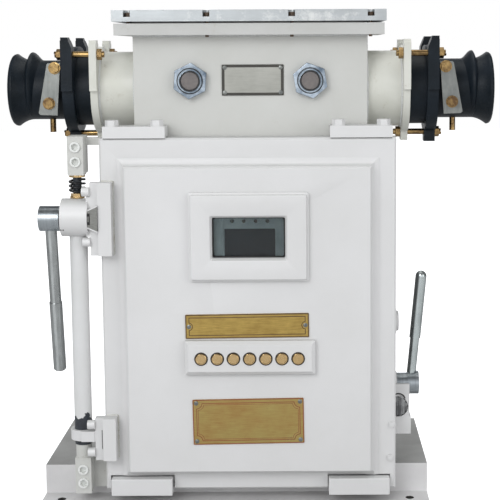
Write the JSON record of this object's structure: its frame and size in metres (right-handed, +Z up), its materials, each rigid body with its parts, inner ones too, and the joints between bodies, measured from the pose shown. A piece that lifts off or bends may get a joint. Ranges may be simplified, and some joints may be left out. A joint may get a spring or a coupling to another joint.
{
  "type": "flameproof vacuum starter",
  "caption": "Floor-standing flameproof starter: steel box with a lift-and-swing door, push buttons, isolator lever and a cable box with bell-mouth entries.",
  "frame": {"origin": "middle of the footprint, on the floor", "axes": "+Z up, -Y out of the door's front, +X to the right of a person who faces the door"},
  "size_m": [0.81, 0.3936, 0.822],
  "materials": {
    "white_paint": "satin enamel",
    "grey_paint": "worn satin enamel",
    "bare_steel": "ground, with paint worn off its top",
    "dark_bolt": "dull, a little rusty",
    "black_casting": "satin black enamel",
    "black_rubber": "dull",
    "yellow_zinc": "yellow passivated zinc",
    "clamp_steel": "bright zinc",
    "bright_chrome": "polished",
    "disc_steel": "dull plated",
    "badge_steel": "blank with a dark border",
    "nut_brass": "satin",
    "spring_steel": "oiled black",
    "clear_glass": "clear",
    "display_plastic": "grey case with a dark screen",
    "plate_brass": "satin, blank",
    "tray_zinc": "zinc sheet",
    "red_moulding": "moulded",
    "white_ceramic": "glazed white",
    "black_moulding": "moulded",
    "core_steel": "varnished core",
    "beige_moulding": "moulded",
    "brown_moulding": "moulded",
    "grey_moulding": "moulded",
    "lever_steel": "bare turned steel",
    "button_brass": "polished"
  },
  "bodies": {
    "starter": {"base_frame": "grey_paint", "main_housing": "white_paint", "cable_box": "white_paint", "cable_box_ends": "white_paint", "cable_box_rim": "white_paint", "cable_box_lid": "bare_steel", "lid_bolts": "dark_bolt", "cable_nozzle_left": "white_paint", "cable_nozzle_right": "white_paint", "bell_mouth_left": "black_casting", "bell_mouth_right": "black_casting", "sealing_rings": "black_rubber", "gland_studs": "yellow_zinc", "cable_clamp_left": "clamp_steel", "cable_clamp_right": "clamp_steel", "clamp_bolts": "yellow_zinc", "control_gland_left": "bright_chrome", "control_gland_right": "bright_chrome", "blanking_discs": "disc_steel", "badge_plate": "badge_steel", "hinge_shaft": "white_paint", "hinge_bracket_top": "white_paint", "hinge_bracket_foot": "white_paint", "bracket_screws": "white_paint", "spring_washer": "nut_brass", "foot_hooks": "white_paint", "interlock_guard": "white_paint", "side_plug": "white_paint", "mounting_tray": "tray_zinc", "vacuum_contactor": "red_moulding", "vacuum_interrupters": "white_ceramic", "isolating_switch": "black_moulding", "control_transformer": "core_steel", "fuse_block": "beige_moulding", "through_terminals": "brown_moulding"},
    "lift_carriage": {"spring_seat": "nut_brass", "lift_spring": "spring_steel"},
    "door": {"door_plate": "white_paint", "door_panel": "white_paint", "window_frame": "white_paint", "window_glass": "clear_glass", "display_unit": "display_plastic", "label_plate": "plate_brass", "button_bar": "white_paint", "lower_plate": "plate_brass", "upper_hooks": "white_paint", "door_bolts": "white_paint", "cam_housing": "white_paint", "lower_hinge": "white_paint", "controller_unit": "grey_moulding"},
    "lift_lever": {"lift_lever": "lever_steel"},
    "switch_lever": {"switch_lever": "lever_steel"},
    "stop_button": {"stop_button": "lever_steel"},
    "push_button_1": {"push_button_1": "button_brass"},
    "push_button_2": {"push_button_2": "button_brass"},
    "push_button_3": {"push_button_3": "button_brass"},
    "push_button_4": {"push_button_4": "button_brass"},
    "push_button_5": {"push_button_5": "button_brass"},
    "push_button_6": {"push_button_6": "button_brass"},
    "push_button_7": {"push_button_7": "button_brass"}
  },
  "joints": [
    {"name": "door_lift", "type": "slide", "parent": "starter", "child": "lift_carriage", "axis": [0, 0, 1], "range_m": [0, 0.01], "stiffness_N_per_m": 4000, "springref_m": -0.01, "deforming": ["lift_spring"]},
    {"name": "door_swing", "type": "hinge", "parent": "lift_carriage", "child": "door", "pos_m": [-0.2815, -0.15175, 0.33], "axis": [0, 0, -1], "range_deg": [0, 90]},
    {"name": "lever_turn", "type": "hinge", "parent": "door", "child": "lift_lever", "pos_m": [-0.3215, -0.17042, 0.488], "axis": [-1, 0, 0], "range_deg": [0, 90]},
    {"name": "switch_turn", "type": "hinge", "parent": "starter", "child": "switch_lever", "pos_m": [0.2695, -0.08775, 0.1905], "axis": [1, 0, 0], "range_deg": [-45, 45]},
    {"name": "stop_press", "type": "slide", "parent": "starter", "child": "stop_button", "axis": [0, 1, 0], "range_m": [0, 0.006], "stiffness_N_per_m": 900, "springref_m": -0.002},
    {"name": "button_1_press", "type": "slide", "parent": "door", "child": "push_button_1", "axis": [0, 1, 0], "range_m": [0, 0.004], "stiffness_N_per_m": 700, "springref_m": -0.001},
    {"name": "button_2_press", "type": "slide", "parent": "door", "child": "push_button_2", "axis": [0, 1, 0], "range_m": [0, 0.004], "stiffness_N_per_m": 700, "springref_m": -0.001},
    {"name": "button_3_press", "type": "slide", "parent": "door", "child": "push_button_3", "axis": [0, 1, 0], "range_m": [0, 0.004], "stiffness_N_per_m": 700, "springref_m": -0.001},
    {"name": "button_4_press", "type": "slide", "parent": "door", "child": "push_button_4", "axis": [0, 1, 0], "range_m": [0, 0.004], "stiffness_N_per_m": 700, "springref_m": -0.001},
    {"name": "button_5_press", "type": "slide", "parent": "door", "child": "push_button_5", "axis": [0, 1, 0], "range_m": [0, 0.004], "stiffness_N_per_m": 700, "springref_m": -0.001},
    {"name": "button_6_press", "type": "slide", "parent": "door", "child": "push_button_6", "axis": [0, 1, 0], "range_m": [0, 0.004], "stiffness_N_per_m": 700, "springref_m": -0.001},
    {"name": "button_7_press", "type": "slide", "parent": "door", "child": "push_button_7", "axis": [0, 1, 0], "range_m": [0, 0.004], "stiffness_N_per_m": 700, "springref_m": -0.001}
  ],
  "couplings": [
    {"joint": "lever_turn", "follows": "door_lift", "rad_per_m": 157.08}
  ]
}
